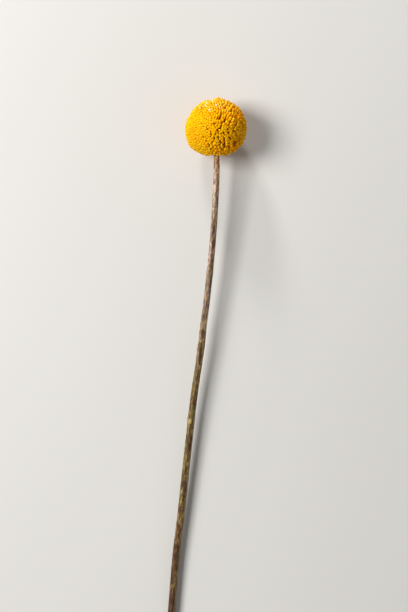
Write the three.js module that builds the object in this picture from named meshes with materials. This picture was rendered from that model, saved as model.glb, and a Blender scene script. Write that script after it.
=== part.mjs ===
// A cut stem of billy buttons (drumstick flower), dried, lying on a surface.
// One globular flower head of small florets on one long bare stem.
//
// Frame: millimetres, +Z up, the surface is z = 0. The stem runs along Y with
// the flower head at +Y and the cut end at -Y. The head rests on its side and
// the stem slopes down from it until it lies on the surface.

import * as THREE from 'three';

// ---------------------------------------------------------------- dimensions

const HEAD_RADIUS = 14.1;        // floret tips, from the head's centre
const HEAD_CENTRE = new THREE.Vector3(0, 136.83, 13.8);
const HEAD_LEAN_DEG = 4.92;      // the head's axis leans this far towards -X
const HEAD_PITCH_DEG = 4.76;     // and its apex points this far up
const APEX_FLORET = 14.68;       // one floret at the apex stands proud
const RECEPTACLE_RADIUS = 6.5;   // the swollen tip of the stem, inside the head
const FLORET_ROOT = 6.9;         // the florets start here, from the head's centre

const CLUSTERS = 320;            // floret clusters a whole head would hold
const ROWS = 21;                 // spiral rows that they stand in
const GOLDEN = Math.PI * (3 - Math.sqrt(5));
const CROWN_ANGLE = 22.6;        // degrees from the apex: rows start past this
const BASE_ANGLE = 151.2;        // degrees from the apex: rows end before this
const ROW_GAP = 0.34;            // clear space between neighbouring rows at their tips

const STEM_SIDES = 12;
const STEM_HOLE = 2.0;           // the opening under the head that the stem passes

// Stem centreline from the head's underside to the cut end, with its radius.
// x is sideways and y is along the stem from the head's centre, z is the height.
const STEM_LINE = [
  [1.34, -12.40, 12.78, 1.37],
  [1.95, -19.42, 12.20, 1.38],
  [2.51, -31.37, 11.27, 1.38],
  [2.78, -41.82, 10.51, 1.41],
  [2.89, -53.51, 9.69, 1.41],
  [2.79, -62.47, 9.09, 1.45],
  [2.63, -71.59, 8.51, 1.46],
  [2.30, -81.88, 7.88, 1.48],
  [1.97, -89.73, 7.42, 1.50],
  [1.91, -95.60, 7.07, 1.51],
  [1.69, -99.90, 6.87, 1.54],
  [1.30, -108.04, 6.43, 1.56],
  [0.75, -115.94, 6.03, 1.60],
  [0.26, -127.15, 5.50, 1.61],
  [-0.10, -142.83, 4.81, 1.64],
  [-0.49, -159.22, 4.17, 1.68],
  [-0.82, -175.83, 3.60, 1.68],
  [-1.40, -192.50, 3.10, 1.72],
  [-1.46, -209.11, 2.70, 1.74],
  [-1.29, -220.17, 2.47, 1.76],
  [-1.10, -236.61, 2.19, 1.77],
  [-0.76, -257.04, 1.96, 1.78],
  [-0.28, -277.74, 1.84, 1.80],
  [0.00, -287.85, 1.82, 1.81],
];

// Withered leaf bases left on the stem: distance below the head's centre,
// degrees round the stem (0 = up, 90 = towards -X), length, width, thickness.
const LEAF_STUBS = [
  { name: 'leaf_stub_1', along: 28.8, turn: 88, length: 3.4, width: 1.25, proud: 0.55 },
  { name: 'leaf_stub_2', along: 64.9, turn: 93, length: 1.8, width: 0.95, proud: 0.28 },
  { name: 'leaf_stub_3', along: 90.8, turn: 80, length: 2.6, width: 1.35, proud: 0.42 },
  { name: 'leaf_stub_4', along: 99.1, turn: 86, length: 3.6, width: 1.45, proud: 0.60 },
  { name: 'leaf_stub_5', along: 132.6, turn: 78, length: 3.2, width: 1.60, proud: 0.38 },
  { name: 'leaf_stub_6', along: 165.4, turn: 34, length: 2.6, width: 1.20, proud: 0.30 },
  { name: 'leaf_stub_7', along: 243.0, turn: -70, length: 3.4, width: 1.50, proud: 0.48 },
];
const STUB_GAP = 0.14;

// ----------------------------------------------------------------- materials

const paint = (hex, roughness) =>
  new THREE.MeshStandardMaterial({ color: hex, roughness, metalness: 0 });

const floretYellow = () => paint(0xf2b200, 0.7);
const stemTan = () => paint(0x8f7c52, 0.8);
const stubCream = () => paint(0xc9b08a, 0.8);

// ------------------------------------------------------------------- helpers

const rad = THREE.MathUtils.degToRad;

// A closed geometry from points and faces, with its faces pointing out.
function solid(points, faces) {
  const g = new THREE.BufferGeometry();
  g.setAttribute('position', new THREE.Float32BufferAttribute(points.flatMap((p) => [p.x, p.y, p.z]), 3));
  g.setIndex(faces);
  let volume = 0;
  const c = new THREE.Vector3();
  for (let i = 0; i < faces.length; i += 3) {
    const [p, q, r] = [points[faces[i]], points[faces[i + 1]], points[faces[i + 2]]];
    volume += p.dot(c.crossVectors(q, r));
  }
  if (volume < 0) {
    for (let i = 0; i < faces.length; i += 3) {
      [faces[i + 1], faces[i + 2]] = [faces[i + 2], faces[i + 1]];
    }
    g.setIndex(faces);
  }
  g.computeVertexNormals();
  return g;
}

// A closed skin over rings of points, each ring with the same number of points.
// firstTip and lastTip are single points that close the ends.
function loft(rings, firstTip, lastTip) {
  const n = rings[0].length;
  const points = rings.flat();
  const faces = [];
  for (let r = 0; r + 1 < rings.length; r++) {
    for (let i = 0; i < n; i++) {
      const a = r * n + i;
      const b = r * n + (i + 1) % n;
      faces.push(a, b, a + n, b, b + n, a + n);
    }
  }
  const first = points.length;
  points.push(firstTip, lastTip);
  const end = (rings.length - 1) * n;
  for (let i = 0; i < n; i++) {
    faces.push(first, (i + 1) % n, i);
    faces.push(first + 1, end + i, end + (i + 1) % n);
  }
  return solid(points, faces);
}

// ------------------------------------------------------------ the head's place

const headAxis = new THREE.Vector3(
  -Math.sin(rad(HEAD_LEAN_DEG)) * Math.cos(rad(HEAD_PITCH_DEG)),
  Math.cos(rad(HEAD_LEAN_DEG)) * Math.cos(rad(HEAD_PITCH_DEG)),
  Math.sin(rad(HEAD_PITCH_DEG)),
);
const headTurn = new THREE.Quaternion().setFromUnitVectors(new THREE.Vector3(0, 0, 1), headAxis);
const upInHead = new THREE.Vector3(0, 0, 1).applyQuaternion(headTurn.clone().invert());

// The head is a ball with a flatter underside round the stem. fullness is the
// part of the radius that the tips reach at this angle from the apex.
function fullness(theta) {
  const below = 180 - THREE.MathUtils.radToDeg(theta);
  const t = THREE.MathUtils.clamp((below - 12) / (66 - 12), 0, 1);
  return 0.865 + 0.135 * Math.sin(t * Math.PI / 2) ** 2.3;
}

// A point in the head's own frame (apex on +Z), by distance and angles. A tip
// that would reach below the surface is pressed flat against it.
function inHead(r, theta, phi) {
  const p = new THREE.Vector3(
    r * Math.sin(theta) * Math.cos(phi),
    r * Math.sin(theta) * Math.sin(phi),
    r * Math.cos(theta),
  );
  const height = p.dot(upInHead) + HEAD_CENTRE.z;
  if (height < 0) p.addScaledVector(upInHead, -height);
  return p;
}

// ------------------------------------------------------------------- florets

// One spiral row: a curved rib of clusters, from the crown to the base.
function floretRow(k) {
  const thetaAt = (u) => Math.acos(THREE.MathUtils.clamp(1 - (2 * u + 1) / CLUSTERS, -1, 1));
  const start = rad(CROWN_ANGLE);
  const end = rad(BASE_ANGLE);
  const uOf = (theta) => (CLUSTERS * (1 - Math.cos(theta)) - 1) / 2;
  const turnPerRow = ((ROWS * GOLDEN) % (2 * Math.PI)) / ROWS; // longitude along the row

  const stations = [{ u: uOf(start), bump: 0.25 }];
  for (let j = -1; j < 17; j++) {
    for (const half of [0, 0.5]) {
      const u = k + ROWS * (j + half);
      if (u > uOf(start) + 4 && u < uOf(end) - 4) stations.push({ u, bump: half ? 0 : 1 });
    }
  }
  stations.push({ u: uOf(end), bump: 0.25 });

  const slope = (theta) => 0.5 * CLUSTERS * turnPerRow * Math.sin(theta); // dphi/dtheta
  const rings = stations.map(({ u, bump }) => {
    const theta = thetaAt(u);
    const phi = k * GOLDEN + (u - k) * turnPerRow;
    const lean = Math.atan(slope(theta) * Math.sin(theta));
    const reach = HEAD_RADIUS * fullness(theta);
    const crown = reach - (1 - bump) * 0.75;
    const shoulder = reach - 0.75 - (1 - bump) * 0.55;
    const half = (r, gap) =>
      Math.PI / ROWS - gap / (2 * r * Math.sin(theta) * Math.cos(lean));
    const wIn = half(FLORET_ROOT, ROW_GAP * 0.62);
    const wOut = half(shoulder, ROW_GAP + (1 - bump) * 0.25);
    return [
      inHead(FLORET_ROOT, theta, phi - wIn),
      inHead(shoulder, theta, phi - wOut),
      inHead(crown, theta, phi),
      inHead(shoulder, theta, phi + wOut),
      inHead(FLORET_ROOT, theta, phi + wIn),
    ];
  });

  // flat ends that follow the crown's and the base's edge
  const middle = (ring) => ring.reduce((s, p) => s.add(p), new THREE.Vector3()).multiplyScalar(1 / ring.length);
  return loft(rings, middle(rings[0]), middle(rings[rings.length - 1]));
}

// The crown: the clusters round the apex, one of them standing proud.
function floretCrown() {
  const n = 13;
  const edge = rad(CROWN_ANGLE) - 0.34 / 10;
  const ring = (theta, r, swing) =>
    Array.from({ length: n }, (_, i) => {
      const phi = (2 * Math.PI * i) / n;
      return inHead(r + (i % 2 ? swing : -swing), theta, phi);
    });
  const rings = [
    ring(rad(12), FLORET_ROOT, 0),
    ring(edge, FLORET_ROOT, 0),
    ring(edge, HEAD_RADIUS - 0.95, 0.15),
    ring(rad(16.5), HEAD_RADIUS - 0.2, 0.2),
    ring(rad(9), HEAD_RADIUS - 0.35, -0.25),
    ring(rad(5), HEAD_RADIUS - 0.2, 0.1),
  ];
  return loft(rings, inHead(FLORET_ROOT, 0, 0), inHead(APEX_FLORET, rad(3.6), 0.1));
}

// The base: the clusters round the stem, with the opening that the stem passes.
function floretBase() {
  const n = 14;
  const edge = rad(BASE_ANGLE) + 0.34 / 8;
  const at = (r, theta, swing = 0) => {
    return Array.from({ length: n }, (_, i) => {
      const phi = (2 * Math.PI * i) / n;
      return inHead(r + (i % 2 ? swing : -swing), theta, phi);
    });
  };
  const hole = (r) => Math.PI - Math.asin(STEM_HOLE / r);
  const rings = [
    at(FLORET_ROOT, hole(FLORET_ROOT)),
    at(FLORET_ROOT, rad(158)),
    at(FLORET_ROOT, edge),
    at(HEAD_RADIUS * fullness(edge) - 0.9, edge, 0.12),
    at(HEAD_RADIUS * fullness(rad(157)) - 0.15, rad(157), 0.18),
    at(HEAD_RADIUS * fullness(rad(163)) - 0.35, rad(163), -0.2),
    at(HEAD_RADIUS * fullness(rad(168)) - 0.2, rad(168), 0.15),
    at(HEAD_RADIUS * fullness(rad(171)) - 0.7, hole(HEAD_RADIUS * fullness(rad(171)) - 0.7)),
  ];
  // rings close on themselves, so the skin has no end caps
  const points = rings.flat();
  const faces = [];
  for (let r = 0; r < rings.length; r++) {
    const s = (r + 1) % rings.length;
    for (let i = 0; i < n; i++) {
      const j = (i + 1) % n;
      faces.push(r * n + i, r * n + j, s * n + i, r * n + j, s * n + j, s * n + i);
    }
  }
  return solid(points, faces);
}

// ---------------------------------------------------------------------- stem

const stemCurve = new THREE.CatmullRomCurve3(
  STEM_LINE.map(([x, y, z]) => new THREE.Vector3(x, y + HEAD_CENTRE.y, z)),
  false,
  'centripetal',
);

function stemRadius(y) {
  const along = HEAD_CENTRE.y - y;
  for (let i = 0; i + 1 < STEM_LINE.length; i++) {
    const a = -STEM_LINE[i][1];
    const b = -STEM_LINE[i + 1][1];
    if (along <= b) {
      const t = THREE.MathUtils.clamp((along - a) / (b - a), 0, 1);
      return THREE.MathUtils.lerp(STEM_LINE[i][3], STEM_LINE[i + 1][3], t);
    }
  }
  return STEM_LINE[STEM_LINE.length - 1][3];
}

// Directions across the stem at a point: up and towards -X.
function across(tangent) {
  const side = new THREE.Vector3(0, 0, 1).cross(tangent).normalize(); // -X where the stem runs to -Y is +X
  const up = new THREE.Vector3().crossVectors(tangent, side).normalize();
  return { up, left: side.multiplyScalar(side.x > 0 ? -1 : 1) };
}

function stem() {
  const rings = [];
  const down = headAxis.clone().negate();
  const { up: headUp, left: headLeft } = across(down);
  const round = (centre, up, left, r, wave = 0) =>
    Array.from({ length: STEM_SIDES }, (_, i) => {
      const a = (2 * Math.PI * i) / STEM_SIDES;
      const q = r * (1 + wave * Math.cos(5 * a + 0.6));
      return centre.clone().addScaledVector(up, q * Math.cos(a)).addScaledVector(left, q * Math.sin(a));
    });

  // the swollen tip, from its apex down to where it narrows to the stem
  const tip = HEAD_CENTRE.clone().addScaledVector(headAxis, RECEPTACLE_RADIUS);
  for (const deg of [18, 36, 54, 72, 90, 108, 126, 142, 155, 166]) {
    const a = rad(deg);
    const centre = HEAD_CENTRE.clone().addScaledVector(headAxis, RECEPTACLE_RADIUS * Math.cos(a));
    rings.push(round(centre, headUp, headLeft, Math.max(RECEPTACLE_RADIUS * Math.sin(a), 1.36)));
  }
  rings.push(round(HEAD_CENTRE.clone().addScaledVector(down, 9.2), headUp, headLeft, 1.36));

  const steps = 46;
  for (let i = 0; i <= steps; i++) {
    const u = i / steps;
    const p = stemCurve.getPointAt(u);
    const { up, left } = across(stemCurve.getTangentAt(u));
    const ring = round(p, up, left, stemRadius(p.y), 0.02);
    // the cut end is slightly slanted
    if (i === steps) for (const q of ring) q.y += (q.z - p.z) * 0.25;
    for (const q of ring) if (q.z < 0) q.z = 0;
    rings.push(ring);
  }
  const endCentre = stemCurve.getPointAt(1);
  return loft(rings, tip, endCentre);
}

// A leaf base: a small scale against the stem, broken off at its upper end and
// tapering into the stem below.
function leafStub({ along, turn, length, width, proud }) {
  const nearest = (y) => {
    let lo = 0;
    let hi = 1;
    for (let i = 0; i < 40; i++) {
      const mid = (lo + hi) / 2;
      if (stemCurve.getPointAt(mid).y > y) lo = mid; else hi = mid;
    }
    return (lo + hi) / 2;
  };
  const rings = [];
  const profile = [
    // t along, width, thickness
    [0.0, 0.92, 1.0],
    [0.22, 1.0, 0.92],
    [0.55, 0.75, 0.6],
    [0.85, 0.42, 0.3],
    [1.0, 0.2, 0.16],
  ];
  for (const [t, w, h] of profile) {
    const u = nearest(HEAD_CENTRE.y - along - length * (t - 0.3));
    const p = stemCurve.getPointAt(u);
    const { up, left } = across(stemCurve.getTangentAt(u));
    const r = stemRadius(p.y) * 1.02 + STUB_GAP;
    const spread = (width * w) / 2 / r;
    const at = (k, lift) => {
      const a = rad(turn) + spread * k;
      return p.clone()
        .addScaledVector(up, (r + lift) * Math.cos(a))
        .addScaledVector(left, (r + lift) * Math.sin(a));
    };
    const top = proud * h;
    rings.push([
      at(-1, 0), at(-0.35, 0), at(0.35, 0), at(1, 0),
      at(0.85, top * 0.55), at(0.3, top), at(-0.3, top), at(-0.85, top * 0.55),
    ]);
  }
  const middle = (ring) => ring.reduce((s, p) => s.add(p), new THREE.Vector3()).multiplyScalar(1 / ring.length);
  return loft(rings, middle(rings[0]), middle(rings[rings.length - 1]));
}

// ------------------------------------------------------------------ the object

const billyButton = new THREE.Group();

function add(parent, name, geometry, material) {
  const mesh = new THREE.Mesh(geometry, material);
  mesh.name = name;
  parent.add(mesh);
  return mesh;
}

add(billyButton, 'stem', stem(), stemTan());
for (const stub of LEAF_STUBS) add(billyButton, stub.name, leafStub(stub), stubCream());

const head = new THREE.Group();
head.position.copy(HEAD_CENTRE);
head.quaternion.copy(headTurn);
add(head, 'florets_crown', floretCrown(), floretYellow());
for (let k = 0; k < ROWS; k++) {
  add(head, `floret_row_${String(k + 1).padStart(2, '0')}`, floretRow(k), floretYellow());
}
add(head, 'florets_base', floretBase(), floretYellow());
billyButton.add(head);

export default billyButton;
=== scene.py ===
import math

import bpy
import numpy as np
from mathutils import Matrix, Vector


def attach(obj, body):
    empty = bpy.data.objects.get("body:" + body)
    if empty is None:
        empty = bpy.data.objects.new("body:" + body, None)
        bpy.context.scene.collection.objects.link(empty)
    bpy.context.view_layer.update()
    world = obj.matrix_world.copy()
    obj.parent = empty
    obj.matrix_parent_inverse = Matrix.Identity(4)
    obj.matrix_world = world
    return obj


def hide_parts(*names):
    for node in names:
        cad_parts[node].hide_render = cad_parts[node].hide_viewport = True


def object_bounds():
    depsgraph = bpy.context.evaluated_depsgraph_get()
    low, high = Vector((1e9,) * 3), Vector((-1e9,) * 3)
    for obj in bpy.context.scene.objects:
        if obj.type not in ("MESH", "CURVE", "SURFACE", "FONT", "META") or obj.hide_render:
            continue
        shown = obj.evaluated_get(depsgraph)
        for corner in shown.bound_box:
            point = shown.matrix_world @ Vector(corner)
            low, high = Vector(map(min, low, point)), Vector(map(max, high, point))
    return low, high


# The looks of one dried billy button stem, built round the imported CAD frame.
# Lengths are in millimetres in the helpers below, and in metres in Blender.

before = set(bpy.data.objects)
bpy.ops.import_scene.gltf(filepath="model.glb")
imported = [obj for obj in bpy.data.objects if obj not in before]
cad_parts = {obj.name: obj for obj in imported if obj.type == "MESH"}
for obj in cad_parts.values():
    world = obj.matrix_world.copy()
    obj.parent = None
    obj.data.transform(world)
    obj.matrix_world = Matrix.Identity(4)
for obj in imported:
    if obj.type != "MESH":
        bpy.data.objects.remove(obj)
CAD_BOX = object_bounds()
MM = 0.001
rng = np.random.default_rng(20538)

# ------------------------------------------------------------ shared geometry

HEAD_CENTRE = np.array([0.0, 136.83, 13.8])
LEAN, PITCH = math.radians(4.92), math.radians(4.76)
HEAD_AXIS = np.array([
    -math.sin(LEAN) * math.cos(PITCH),
    math.cos(LEAN) * math.cos(PITCH),
    math.sin(PITCH),
])
CLUSTERS, ROWS = 320, 21
GOLDEN = math.pi * (3 - math.sqrt(5))
CROWN_FROM, BASE_FROM = 12, 300   # cluster numbers: crown below, base from here on

# Stem centreline: x, y from the head's centre, z, radius.
STEM_LINE = np.array([
    [1.34, -12.40, 12.78, 1.37],
    [1.95, -19.42, 12.20, 1.38],
    [2.51, -31.37, 11.27, 1.38],
    [2.78, -41.82, 10.51, 1.41],
    [2.89, -53.51, 9.69, 1.41],
    [2.79, -62.47, 9.09, 1.45],
    [2.63, -71.59, 8.51, 1.46],
    [2.30, -81.88, 7.88, 1.48],
    [1.97, -89.73, 7.42, 1.50],
    [1.91, -95.60, 7.07, 1.51],
    [1.69, -99.90, 6.87, 1.54],
    [1.30, -108.04, 6.43, 1.56],
    [0.75, -115.94, 6.03, 1.60],
    [0.26, -127.15, 5.50, 1.61],
    [-0.10, -142.83, 4.81, 1.64],
    [-0.49, -159.22, 4.17, 1.68],
    [-0.82, -175.83, 3.60, 1.68],
    [-1.40, -192.50, 3.10, 1.72],
    [-1.46, -209.11, 2.70, 1.74],
    [-1.29, -220.17, 2.47, 1.76],
    [-1.10, -236.61, 2.19, 1.77],
    [-0.76, -257.04, 1.96, 1.78],
    [-0.28, -277.74, 1.84, 1.80],
    [0.00, -287.85, 1.82, 1.81],
])

# -------------------------------------------------------------- camera, lights

SCALE = 0.4516                    # mm a pixel at the head's centre, 408 x 612 image
VIEW_TURN = math.radians(4.919)   # the picture's upright against the part's Y
LENS = 100.0
DISTANCE = 612 * SCALE * LENS / 36.0


def picture_to_world(px, py, z=HEAD_CENTRE[2]):
    """A picture point at height z, in mm in the part's frame."""
    f = (DISTANCE - (z - HEAD_CENTRE[2])) / DISTANCE
    a, b = (px - 204.0) * SCALE * f, (306.0 - py) * SCALE * f
    a0, b0 = (216.0 - 204.0) * SCALE, (306.0 - 129.0) * SCALE
    c, s = math.cos(VIEW_TURN), math.sin(VIEW_TURN)
    x = (a - a0) * c - (b - b0) * s
    y = (a - a0) * s + (b - b0) * c
    return np.array([x + HEAD_CENTRE[0], y + HEAD_CENTRE[1], z])


cam_data = bpy.data.cameras.new("camera")
cam_data.lens = LENS
cam_data.sensor_width = 36.0
cam_data.clip_start, cam_data.clip_end = 0.05, 20.0
camera = bpy.data.objects.new("camera", cam_data)
middle = picture_to_world(204, 306)
camera.location = (middle[0] * MM, middle[1] * MM, (HEAD_CENTRE[2] + DISTANCE) * MM)
camera.rotation_euler = (0, 0, VIEW_TURN)
bpy.context.scene.collection.objects.link(camera)
bpy.context.scene.camera = camera
bpy.context.scene.view_settings.view_transform = "Standard"
bpy.context.scene.view_settings.look = "None"


def area_light(name, place, target, size, watts, colour, size_y=None):
    data = bpy.data.lights.new(name, "AREA")
    data.shape = "RECTANGLE"
    data.size, data.size_y = size, size_y or size
    data.energy = watts
    data.color = colour
    ob = bpy.data.objects.new(name, data)
    ob.location = place
    d = np.array(target, float) - np.array(place, float)
    from mathutils import Vector
    ob.rotation_euler = Vector(d).to_track_quat("-Z", "Y").to_euler()
    ob.visible_camera = False
    bpy.context.scene.collection.objects.link(ob)
    return ob


AIM = (0.0, 0.10, 0.012)
area_light("key", (-0.74, 0.20, 0.84), AIM, 0.50, 13.4, (1.0, 0.985, 0.95))
area_light("top", (-0.36, 1.00, 0.33), AIM, 0.16, 5.5, (1.0, 0.985, 0.96))
fill = area_light("fill", (0.80, -0.35, 0.7), (0, 0, 0), 1.2, 1.7, (1.0, 0.97, 0.93))
fill.visible_glossy = False

world = bpy.data.worlds.new("studio")
world.use_nodes = True
world.node_tree.nodes["Background"].inputs["Color"].default_value = (0.84, 0.82, 0.80, 1)
world.node_tree.nodes["Background"].inputs["Strength"].default_value = 0.20
world.cycles_visibility.glossy = False
bpy.context.scene.world = world

# ------------------------------------------------------------------ numpy help


def hash3(ix, iy, iz, seed):
    h = (ix.astype(np.int64) * 374761393 + iy.astype(np.int64) * 668265263
         + iz.astype(np.int64) * 2147483647 + seed * 974634777) & 0xFFFFFFFF
    h = ((h ^ (h >> 13)) * 1274126177) & 0xFFFFFFFF
    h = ((h ^ (h >> 16)) * 2246822519) & 0xFFFFFFFF
    return ((h ^ (h >> 15)) & 0xFFFFFF) / float(0xFFFFFF)


def noise3(p, seed=0):
    """Smooth value noise, 0 to 1, at points p of shape (..., 3)."""
    i = np.floor(p).astype(np.int64)
    f = p - i
    f = f * f * (3 - 2 * f)
    out = 0
    for dx in (0, 1):
        wx = f[..., 0] if dx else 1 - f[..., 0]
        for dy in (0, 1):
            wy = f[..., 1] if dy else 1 - f[..., 1]
            for dz in (0, 1):
                wz = f[..., 2] if dz else 1 - f[..., 2]
                out = out + wx * wy * wz * hash3(i[..., 0] + dx, i[..., 1] + dy, i[..., 2] + dz, seed)
    return out


def fbm(p, seed=0, octaves=3):
    total, weight, out = 0.0, 1.0, 0
    for k in range(octaves):
        out = out + weight * noise3(p * (2.03 ** k), seed + 17 * k)
        total += weight
        weight *= 0.5
    return out / total


def step(x, lo, hi):
    t = np.clip((x - lo) / (hi - lo), 0, 1)
    return t * t * (3 - 2 * t)


def unit(v):
    return v / np.maximum(np.linalg.norm(v, axis=-1, keepdims=True), 1e-12)


def make_mesh(name, verts, quads, tris, masks, material, smooth=True):
    """A mesh object from points in mm, with named colour attributes."""
    me = bpy.data.meshes.new(name)
    nq, nt = len(quads), len(tris)
    me.vertices.add(len(verts))
    me.vertices.foreach_set("co", (np.asarray(verts, np.float64) * MM).astype(np.float32).ravel())
    me.loops.add(nq * 4 + nt * 3)
    loops = np.concatenate([np.asarray(quads, np.int32).ravel(), np.asarray(tris, np.int32).ravel()])
    me.loops.foreach_set("vertex_index", loops)
    me.polygons.add(nq + nt)
    starts = np.concatenate([np.arange(nq) * 4, nq * 4 + np.arange(nt) * 3]).astype(np.int32)
    me.polygons.foreach_set("loop_start", starts)
    if smooth:
        me.polygons.foreach_set("use_smooth", np.ones(nq + nt, bool))
    me.update(calc_edges=True)
    me.validate()
    for attr, values in masks.items():
        layer = me.color_attributes.new(attr, "FLOAT_COLOR", "POINT")
        layer.data.foreach_set("color", np.asarray(values, np.float32).ravel())
    me.materials.append(material)
    ob = bpy.data.objects.new(name, me)
    bpy.context.scene.collection.objects.link(ob)
    return ob


def ring_faces(rings, sides, closed_rings=False):
    """Quads between consecutive rings of points."""
    r = np.arange(rings if closed_rings else rings - 1)
    i = np.arange(sides)
    a = (r[:, None] * sides + i).ravel()
    b = (r[:, None] * sides + (i + 1) % sides).ravel()
    up = (((r[:, None] + 1) % rings) * sides + i).ravel()
    upb = (((r[:, None] + 1) % rings) * sides + (i + 1) % sides).ravel()
    return np.stack([a, b, upb, up], 1)


# ------------------------------------------------------------------- materials


def srgb(r, g, b):
    out = []
    for v in (r, g, b):
        v /= 255.0
        out.append(v / 12.92 if v <= 0.04045 else ((v + 0.055) / 1.055) ** 2.4)
    return (*out, 1.0)


class Nodes:
    """A short way to write a material's nodes."""

    def __init__(self, name):
        self.m = bpy.data.materials.new(name)
        self.m.use_nodes = True
        self.t = self.m.node_tree
        self.bsdf = self.t.nodes["Principled BSDF"]

    def add(self, kind, **settings):
        n = self.t.nodes.new(kind)
        for k, v in settings.items():
            setattr(n, k, v)
        return n

    def link(self, a, b):
        self.t.links.new(a, b)

    def math(self, op, a, b=None, clamp=False):
        n = self.add("ShaderNodeMath", operation=op, use_clamp=clamp)
        for i, v in enumerate((a, b)):
            if v is None:
                continue
            if isinstance(v, (int, float)):
                n.inputs[i].default_value = v
            else:
                self.link(v, n.inputs[i])
        return n.outputs[0]

    def mix(self, fac, a, b, blend="MIX"):
        n = self.add("ShaderNodeMix", data_type="RGBA", blend_type=blend)
        n.clamp_factor = True
        for socket, v in ((n.inputs[0], fac), (n.inputs[6], a), (n.inputs[7], b)):
            if isinstance(v, (int, float)):
                socket.default_value = v
            elif isinstance(v, tuple):
                socket.default_value = v
            else:
                self.link(v, socket)
        return n.outputs[2]

    def ramp(self, fac, stops, interpolation="LINEAR"):
        n = self.add("ShaderNodeValToRGB")
        e = n.color_ramp.elements
        n.color_ramp.interpolation = interpolation
        while len(e) < len(stops):
            e.new(0.5)
        for el, (pos, col) in zip(e, stops):
            el.position = pos
            el.color = col
        self.link(fac, n.inputs[0])
        return n.outputs[0]

    def noise(self, scale, detail=2.0, rough=0.5, vector=None, stretch=None):
        if vector is None:
            if not hasattr(self, "coords"):
                self.coords = self.add("ShaderNodeTexCoord").outputs["Object"]
            vector = self.coords
        if stretch:
            mp = self.add("ShaderNodeMapping")
            mp.inputs["Scale"].default_value = stretch
            self.link(vector, mp.inputs["Vector"])
            vector = mp.outputs[0]
        n = self.add("ShaderNodeTexNoise")
        n.inputs["Scale"].default_value = scale
        n.inputs["Detail"].default_value = detail
        n.inputs["Roughness"].default_value = rough
        self.link(vector, n.inputs["Vector"])
        return n.outputs["Fac"]

    def attribute(self, name):
        a = self.add("ShaderNodeVertexColor")
        a.layer_name = name
        s = self.add("ShaderNodeSeparateColor")
        self.link(a.outputs["Color"], s.inputs[0])
        return s.outputs[0], s.outputs[1], s.outputs[2], a.outputs["Alpha"]

    def grey(self, value):
        c = self.add("ShaderNodeCombineColor")
        for i in range(3):
            self.link(value, c.inputs[i])
        return c.outputs[0]

    def bump(self, height, strength, distance):
        n = self.add("ShaderNodeBump")
        n.inputs["Strength"].default_value = strength
        n.inputs["Distance"].default_value = distance
        self.link(height, n.inputs["Height"])
        self.link(n.outputs[0], self.bsdf.inputs["Normal"])
        return n


def floret_material():
    n = Nodes("floret_yellow")
    pick, depth, age_and_shade, tip = n.attribute("floret")
    fresh = n.ramp(pick, [
        (0.0, srgb(251, 188, 1)),
        (0.45, srgb(251, 184, 1)),
        (0.8, srgb(248, 177, 1)),
        (1.0, srgb(240, 158, 1)),
    ])
    # age and painted shade turn the yellow towards orange
    aged_and_shaded = n.mix(n.math("MULTIPLY", age_and_shade, 0.45), fresh, srgb(236, 152, 2))
    # painted shade: the shaft darkens towards its root, deep between its neighbours
    painted_shaft_shade = n.ramp(depth, [
        (0.0, srgb(54, 24, 5)),
        (0.48, srgb(140, 76, 5)),
        (0.64, srgb(214, 130, 3)),
        (0.78, srgb(240, 162, 2)),
        (0.88, srgb(248, 180, 2)),
    ])
    cover = n.ramp(depth, [(0.70, (1, 1, 1, 1)), (0.88, (0, 0, 0, 1))])
    body = n.mix(cover, aged_and_shaded, painted_shaft_shade)
    # an open floret shows an orange-brown middle
    dot = n.mix(n.math("MULTIPLY", tip, 0.36), body, srgb(206, 110, 2))
    grain = n.noise(1500.0, 3.0, 0.6)
    dappled = n.mix(n.ramp(grain, [(0.42, (0, 0, 0, 1)), (0.80, (0.22, 0.22, 0.22, 1))]), dot, srgb(226, 142, 2))
    fine = n.noise(5200.0, 2.0, 0.5)
    light = n.mix(n.ramp(fine, [(0.5, (0, 0, 0, 1)), (0.8, (0.24, 0.24, 0.24, 1))]), dappled, srgb(255, 206, 6))
    gloss_and_painted_highlight, tight, _, _ = n.attribute("gloss_and_painted_highlight")
    # painted highlight: glossy florets are mixed towards cream in their base colour, besides getting more specular and
    # less roughness
    painted_highlight_colour = n.mix(n.math("MULTIPLY", n.math("POWER", gloss_and_painted_highlight, 2.4), 0.74), light, srgb(255, 243, 190))
    n.link(painted_highlight_colour, n.bsdf.inputs["Base Color"])
    rough = n.math("ADD", n.math("MULTIPLY", grain, 0.14), n.math("MULTIPLY", pick, 0.22))
    rough = n.math("SUBTRACT", n.math("ADD", rough, 0.34), n.math("MULTIPLY", gloss_and_painted_highlight, 0.22))
    n.link(n.math("MAXIMUM", rough, 0.16, clamp=True), n.bsdf.inputs["Roughness"])
    n.link(n.math("ADD", n.math("MULTIPLY", gloss_and_painted_highlight, 0.85), 0.05), n.bsdf.inputs["Specular IOR Level"])
    n.bsdf.inputs["Subsurface Weight"].default_value = 0.6
    n.bsdf.inputs["Subsurface Radius"].default_value = (0.85, 0.58, 0.10)
    n.bsdf.inputs["Subsurface Scale"].default_value = 0.0012
    n.bump(n.math("ADD", grain, n.math("MULTIPLY", fine, 0.5)), 0.30, 0.00008)
    return n.m


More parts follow.
